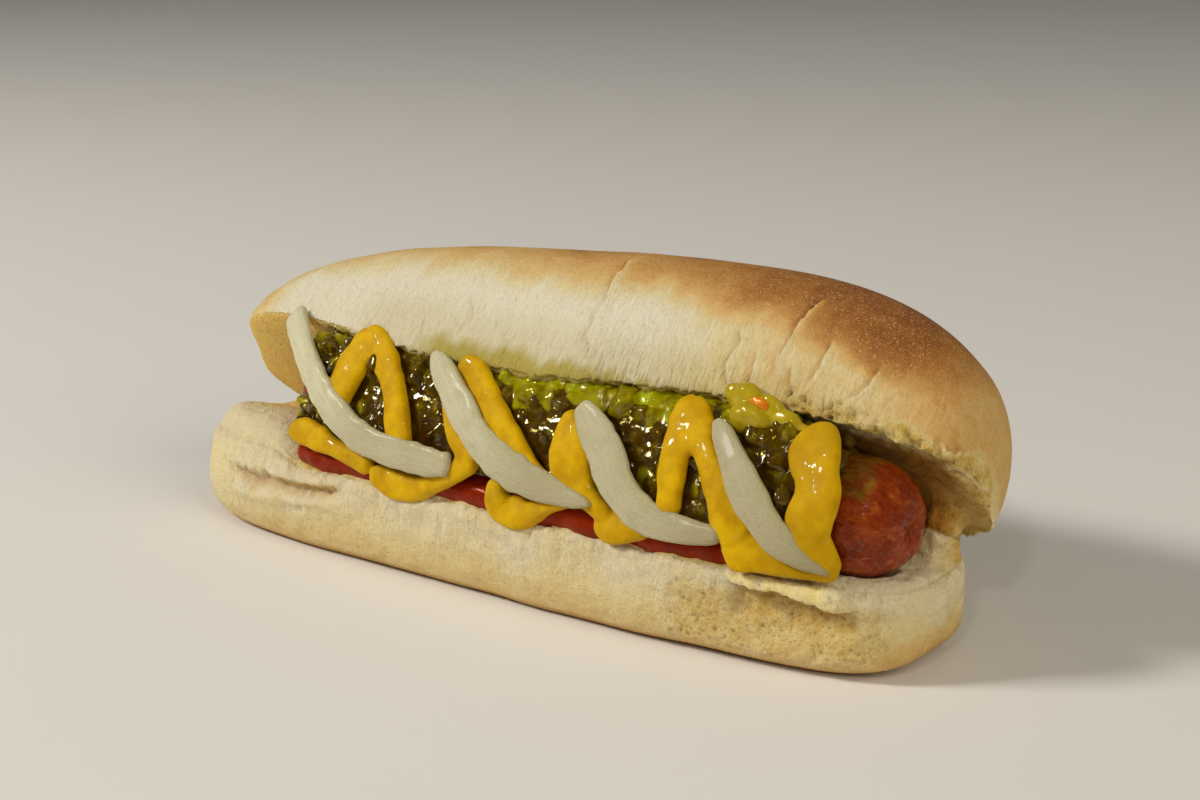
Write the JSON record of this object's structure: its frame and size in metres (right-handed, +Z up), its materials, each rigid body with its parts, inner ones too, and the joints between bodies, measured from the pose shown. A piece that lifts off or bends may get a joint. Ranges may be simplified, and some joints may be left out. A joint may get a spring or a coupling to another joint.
{
  "type": "hot dog",
  "caption": "Sausage in a soft slit roll that lies open to one side, with ketchup, pickle relish, a piped zigzag of mustard and curved strips of onion.",
  "frame": {"origin": "on the surface the roll rests on, below the middle of its lower half", "axes": "+Z up, +X along the roll towards the end where the sausage comes out, -Y out of the slit"},
  "size_m": [0.1656, 0.0606, 0.0589],
  "materials": {
    "bread": "matte baked crust, browned on top and pale at the sides, over an open cream crumb",
    "sausage": "moist red-brown skin",
    "ketchup": "wet glossy red sauce",
    "relish": "wet dark green chopped pickle in syrup",
    "mustard": "smooth glossy yellow sauce",
    "onion": "moist, slightly see-through pale flesh"
  },
  "bodies": {
    "root": {"bun": "bread", "sausage": "sausage", "ketchup": "ketchup", "relish": "relish", "mustard": "mustard", "onion_1": "onion", "onion_2": "onion", "onion_3": "onion", "onion_4": "onion"}
  },
  "joints": []
}
